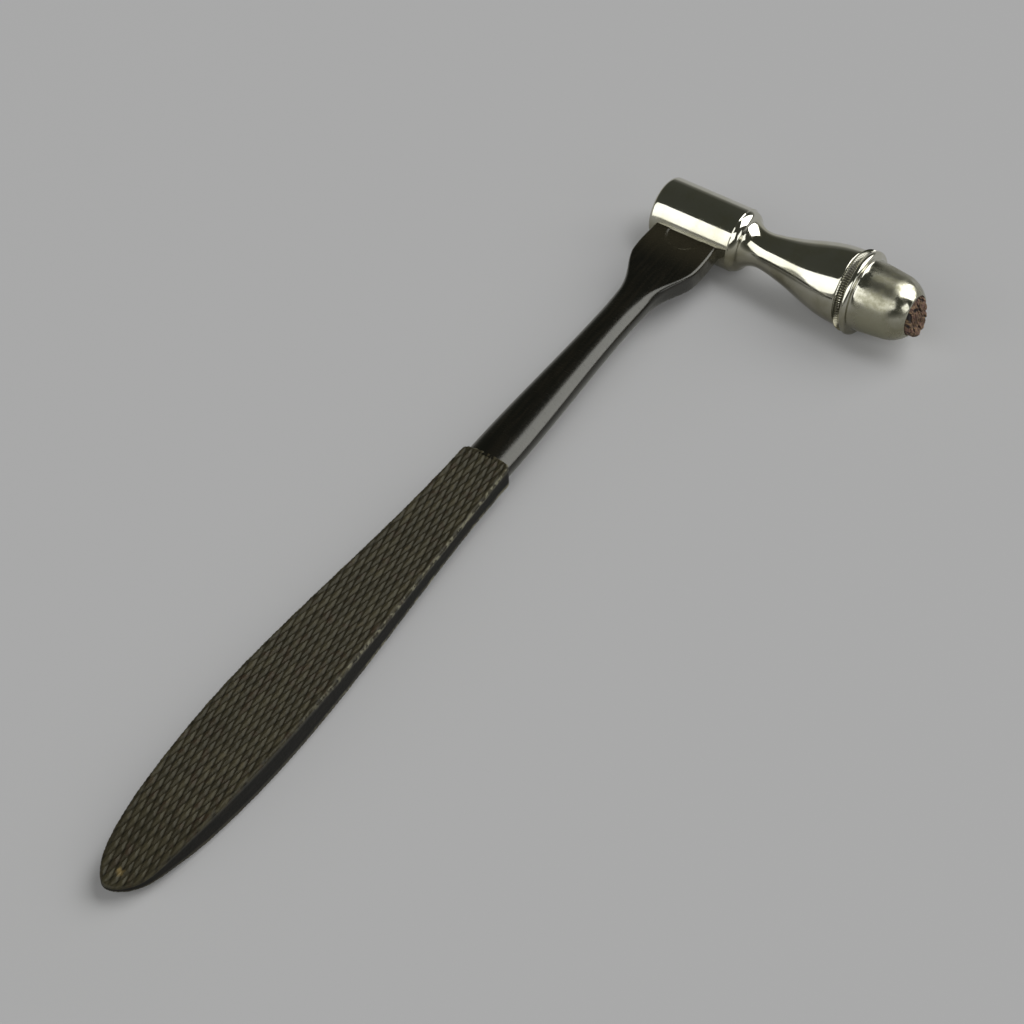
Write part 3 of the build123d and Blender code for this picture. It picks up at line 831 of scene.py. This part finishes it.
def floorSheet(f):
    # A square sheet, finer near the hammer: the leaning height turns into the level one
    # with the distance from the hammer's box.
    u = np.linspace(-1, 1, f["lines"])
    line = f["reach"] * (f["fineShare"] * u + (1 - f["fineShare"]) * u ** 5)
    x, y = np.meshgrid(line, line + f["centreY"], indexing="ij")
    away = np.hypot(np.maximum(np.maximum(f["nearX"][0] - x, x - f["nearX"][1]), 0),
                    np.maximum(np.maximum(f["nearY"][0] - y, y - f["nearY"][1]), 0))
    level = smoothStep(away, 0, f["edge"])
    leaning = f["height"] + f["slopeX"] * x + f["slopeY"] * y
    z = leaning * (1 - level) + f["levelHeight"] * level
    mesh = bpy.data.meshes.new("floor")
    mesh.from_pydata((np.stack((x, y, z), -1).reshape(-1, 3) * mm).tolist(), [],
                     gridQuads(*x.shape).tolist())
    mesh.shade_smooth()
    sheet = bpy.data.objects.new("floor", mesh)
    bpy.context.scene.collection.objects.link(sheet)
    material, shader, here = newMaterial("floor")
    feed(shader, Base_Color=(f["grey"],) * 3, Roughness=1.0, Specular_IOR_Level=0.0)
    path = [here.make("ShaderNodeLightPath", None, None, output)
            for output in ("Is Camera Ray", "Is Glossy Ray", "Is Transmission Ray")]
    x, y = here.axis(0), here.axis(1)
    distances = []
    for along, aside, (middle, halfLength, halfWidth) in ((x, y, f["headLine"]), (y, x, f["handleLine"])):
        beyond = (abs(along - middle) - halfLength).larger(0.0)
        distances.append((beyond * beyond + aside * aside) ** 0.5 - halfWidth)
    away = distances[0].smaller(distances[1])
    share = (f["underShare"] + away.rise(*f["besideFrom"]) * (f["nearShare"] - f["underShare"])
             + away.rise(*f["farFrom"]) * (f["farShare"] - f["nearShare"]))
    seen = (path[0] + path[1] + path[2]).smaller(1.0) * share
    glow = here.make("ShaderNodeEmission", None, {"Color": f["seenGrey"], "Strength": 1.0})
    own = Field(here.tree, shader.outputs[0])
    mixed = here.make("ShaderNodeMixShader", None, {0: seen, 1: own, 2: glow})
    here.tree.links.new(mixed.socket, here.tree.nodes["Material Output"].inputs["Surface"])
    mesh.materials.append(material)


floorSheet(floorSet)

# Softboxes: centre, what they look at, the way their width runs, width and height in
# metres, and radiance
lamps = {
    "strip": ((-0.165, -1.762, 1.517), (0.651, -0.046, 0.408), (0.846, -0.06, 0.53), (4.66, 1.58), 1.7),
    "broad": ((1.007, 1.288, 1.472), (0, 0, 0), (0.788, -0.615, 0), (2.0, 2.5), 3.2),
    "patch": ((2.02, -0.28, 0.83), (0, 0, 0), (0.14, 0.99, 0), (0.9, 0.8), 1.6),
}


def softbox(name, centre, aim, along, size, radiance):
    # A rectangle of even light. The camera doesn't see it, but the metal mirrors it.
    data = bpy.data.lights.new(name, "AREA")
    data.shape = "RECTANGLE"
    data.size, data.size_y = size
    data.energy = radiance * size[0] * size[1] * pi
    back = (Vector(centre) - Vector(aim)).normalized()
    across = Vector(along)
    across = (across - back * back.dot(across)).normalized()
    up = back.cross(across)
    lamp = bpy.data.objects.new(name, data)
    lamp.visible_camera = False
    turn = Matrix((across, up, back)).transposed()
    lamp.matrix_world = Matrix.Translation(Vector(centre)) @ turn.to_4x4()
    bpy.context.scene.collection.objects.link(lamp)


for name, settings in lamps.items():
    softbox(name, *settings)

# The room's radiance against the sine of the height above the horizon
surroundings = [(0.0, (0.397, 0.397, 0.397)), (0.05, (0.28, 0.28, 0.27)), (0.17, (0.134, 0.134, 0.125)),
                (0.35, (0.056, 0.058, 0.049)), (1.0, (0.048, 0.050, 0.042))]


def makeWorld(stops):
    # A pale horizon that meets the floor, and a dim room above it.
    world = bpy.data.worlds.new("world")
    bpy.context.scene.world = world
    world.use_nodes = True
    tree = world.node_tree
    height = Field(tree, tree.nodes.new("ShaderNodeTexCoord").outputs["Generated"]).axis(2)
    colour = height.make("ShaderNodeValToRGB", {"stops": stops}, {"Fac": height})
    tree.links.new(colour.socket, tree.nodes["Background"].inputs["Color"])


makeWorld(surroundings)
bpy.context.scene.view_settings.view_transform = "Standard"
